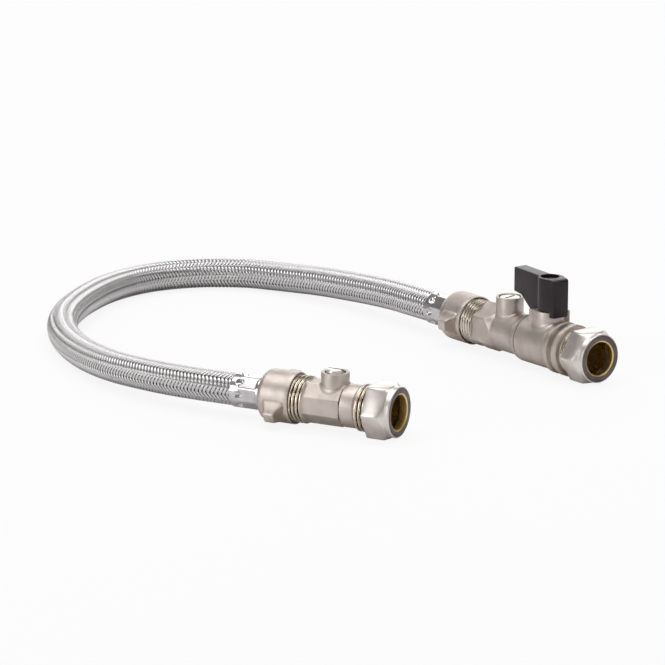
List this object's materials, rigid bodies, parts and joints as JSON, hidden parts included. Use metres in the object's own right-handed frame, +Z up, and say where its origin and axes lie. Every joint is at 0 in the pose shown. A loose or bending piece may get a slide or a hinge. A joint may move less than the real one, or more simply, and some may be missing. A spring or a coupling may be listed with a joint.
{
  "type": "filling loop",
  "caption": "Heating filling loop: a lever ball valve with double check valve and an isolating valve, both with 15 mm compression ends, joined by a braided hose.",
  "frame": {"origin": "centre of the footprint of the two valves and the hose unions, on the bench that they lie on", "axes": "+Z up; +Y away from the front, along the longest side of the two valves; +X to the right"},
  "size_m": [0.2627, 0.2785, 0.0435],
  "materials": {
    "nickel_body": "satin",
    "nickel_nut": "satin",
    "brass": "satin",
    "chrome": "polished",
    "stainless": "polished",
    "braid": "satin stainless braid over a rubber liner",
    "black_plastic": "matte",
    "white_plastic": "matte",
    "ptfe": "satin",
    "rubber": "matte",
    "fibre": "matte"
  },
  "bodies": {
    "loop": {"isolator_olive": "brass", "isolator_end_piece": "nickel_body", "isolator_body": "nickel_body", "isolator_seat_inlet": "ptfe", "isolator_seat_outlet": "ptfe", "isolator_union_washer": "fibre", "isolator_hose_tail": "brass", "isolator_ferrule": "stainless", "lever_valve_olive": "brass", "lever_valve_body": "nickel_body", "lever_valve_seat_inlet": "ptfe", "lever_valve_seat_outlet": "ptfe", "check_valve_body": "nickel_body", "test_plug_seal": "rubber", "test_plug": "nickel_body", "check_housing_1": "white_plastic", "check_spring_1": "stainless", "check_housing_2": "white_plastic", "check_spring_2": "stainless", "check_spacer": "white_plastic", "check_retaining_clip": "stainless", "lever_valve_union_washer": "fibre", "lever_valve_hose_tail": "brass", "lever_valve_ferrule": "stainless", "braided_hose": "braid"},
    "lever": {"lever_handle": "black_plastic", "lever_screw": "stainless", "lever_stem": "brass", "lever_stem_ring_1": "rubber", "lever_stem_ring_2": "rubber", "lever_ball": "chrome"},
    "isolator_spindle": {"isolator_stem": "nickel_body", "isolator_stem_ring": "rubber", "isolator_ball": "chrome"},
    "lever_valve_compression_nut": {"lever_valve_nut": "nickel_nut"},
    "isolator_compression_nut": {"isolator_nut": "nickel_nut"},
    "lever_valve_union_nut": {"lever_valve_wing_nut": "nickel_body"},
    "isolator_union_nut": {"isolator_wing_nut": "nickel_body"},
    "check_poppet_inlet": {"check_poppet_1": "white_plastic", "check_seal_1": "rubber"},
    "check_poppet_outlet": {"check_poppet_2": "white_plastic", "check_seal_2": "rubber"}
  },
  "joints": [
    {"name": "lever_turn", "type": "hinge", "parent": "loop", "child": "lever", "pos_m": [0.05708, 0.02655, 0.012], "axis": [0, 0, 1], "range_deg": [-84, 6]},
    {"name": "isolator_turn", "type": "hinge", "parent": "loop", "child": "isolator_spindle", "pos_m": [-0.04057, -0.07143, 0.0115], "axis": [0, 0, 1], "continuous": true},
    {"name": "lever_valve_compression_nut_turn", "type": "hinge", "parent": "loop", "child": "lever_valve_compression_nut", "pos_m": [0.0786, -0.0008, 0.012], "axis": [0.6184, -0.7859, 0], "continuous": true},
    {"name": "isolator_compression_nut_turn", "type": "hinge", "parent": "loop", "child": "isolator_compression_nut", "pos_m": [-0.013, -0.0856, 0.0115], "axis": [0.8894, -0.4571, 0], "continuous": true},
    {"name": "lever_valve_union_nut_turn", "type": "hinge", "parent": "loop", "child": "lever_valve_union_nut", "pos_m": [0.0786, -0.0008, 0.012], "axis": [0.6184, -0.7859, 0], "continuous": true},
    {"name": "isolator_union_nut_turn", "type": "hinge", "parent": "loop", "child": "isolator_union_nut", "pos_m": [-0.013, -0.0856, 0.0115], "axis": [0.8894, -0.4571, 0], "continuous": true},
    {"name": "check_poppet_inlet_lift", "type": "slide", "parent": "loop", "child": "check_poppet_inlet", "axis": [-0.6184, 0.7859, 0], "range_m": [0, 0.0025], "stiffness_N_per_m": 120, "springref_m": -0.003, "deforming": ["check_spring_1"]},
    {"name": "check_poppet_outlet_lift", "type": "slide", "parent": "loop", "child": "check_poppet_outlet", "axis": [-0.6184, 0.7859, 0], "range_m": [0, 0.0025], "stiffness_N_per_m": 120, "springref_m": -0.003, "deforming": ["check_spring_2"]}
  ]
}
